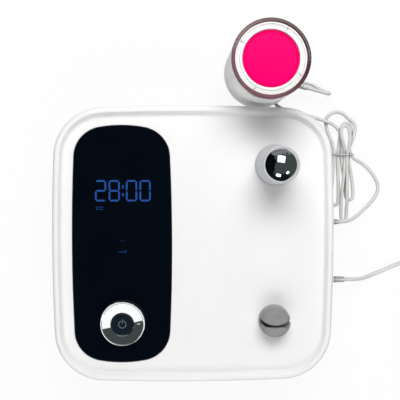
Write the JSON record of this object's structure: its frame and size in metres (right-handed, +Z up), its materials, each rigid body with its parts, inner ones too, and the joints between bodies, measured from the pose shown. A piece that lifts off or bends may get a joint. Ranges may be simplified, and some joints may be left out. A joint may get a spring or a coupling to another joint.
{
  "type": "ultrasound therapy device",
  "caption": "Square tabletop console with a long display window, a turning knob with a power button, a domed head rest and a cord clip, and a cylindrical treatment head on a lead.",
  "frame": {"origin": "on the table, under the middle of the box round the console and the head", "axes": "+Z up, +Y towards the back where the head stands, +X to the user's right"},
  "size_m": [0.4152, 0.3239, 0.1066],
  "materials": {
    "white_abs": "satin white moulded ABS",
    "grey_elastomer": "matt grey elastomer",
    "dark_rubber": "matt",
    "black_glass": "gloss, nearly black",
    "lit_blue": "lit blue",
    "navy_gloss": "gloss, nearly black",
    "pale_print": "printed",
    "chrome": "polished",
    "zinc_steel": "zinc or nickel plated",
    "circuit_board": "green solder mask",
    "black_part": "moulded black",
    "ferrite": "matt",
    "aluminium": "extruded or turned",
    "ribbon": "grey",
    "magenta": "satin magenta",
    "clear_mauve": "clear, tinted by what is behind it",
    "white_cord": "white PVC",
    "tie": "white twist tie"
  },
  "bodies": {
    "console": {"adapter_pins": "zinc_steel", "ballast_plate": "zinc_steel", "board_screws": "zinc_steel", "buzzer": "black_part", "capacitors": "black_part", "case_screws": "zinc_steel", "clip_screw": "zinc_steel", "cord_clip": "grey_elastomer", "display_board": "circuit_board", "display_segments": "lit_blue", "display_window": "black_glass", "drive_transformer": "ferrite", "encoder_body": "black_part", "heat_sink": "aluminium", "lead_hank": "white_cord", "lead_head_run": "white_cord", "lead_jack": "black_part", "lead_plug": "white_cord", "lead_tail_run": "white_cord", "lead_tie": "tie", "lower_case": "white_abs", "main_board": "circuit_board", "post_screw": "zinc_steel", "power_adapter": "white_cord", "power_coil": "white_cord", "power_jack": "black_part", "power_plug": "white_cord", "power_run": "white_cord", "power_tail": "white_cord", "power_tie": "tie", "rest_dome": "chrome", "rest_post": "white_abs", "ribbon_cable": "ribbon", "rubber_feet": "dark_rubber", "tact_switch": "black_part", "upper_case": "white_abs", "window_gasket": "dark_rubber"},
    "knob": {"knob_ring": "chrome", "knob_hub": "black_part"},
    "power_button": {"button_cap": "navy_gloss", "power_symbol": "pale_print", "switch_plunger": "black_part"},
    "treatment_head": {"head_body": "white_abs", "head_rear_cap": "white_abs", "head_foot_ring": "dark_rubber", "seat_magnet": "zinc_steel", "head_bezel": "white_abs", "clear_rim": "clear_mauve", "membrane": "magenta", "transducer_cup": "aluminium", "piezo_disc": "ferrite", "clamp_ring": "aluminium", "sealing_ring": "dark_rubber", "head_board": "circuit_board", "head_screws": "zinc_steel", "head_strain_relief": "white_cord"}
  },
  "joints": [
    {"name": "knob_turn", "type": "hinge", "parent": "console", "child": "knob", "pos_m": [-0.06505, -0.10708, 0.0612], "axis": [0, 0, 1], "continuous": true},
    {"name": "button_press", "type": "slide", "parent": "console", "child": "power_button", "axis": [0, 0, -1], "range_m": [0, 0.0008], "stiffness_N_per_m": 2000, "springref_m": -0.0008},
    {"name": "head_lift", "type": "slide", "parent": "console", "child": "treatment_head", "axis": [0, 0, 1], "range_m": [0, 0.03]}
  ]
}
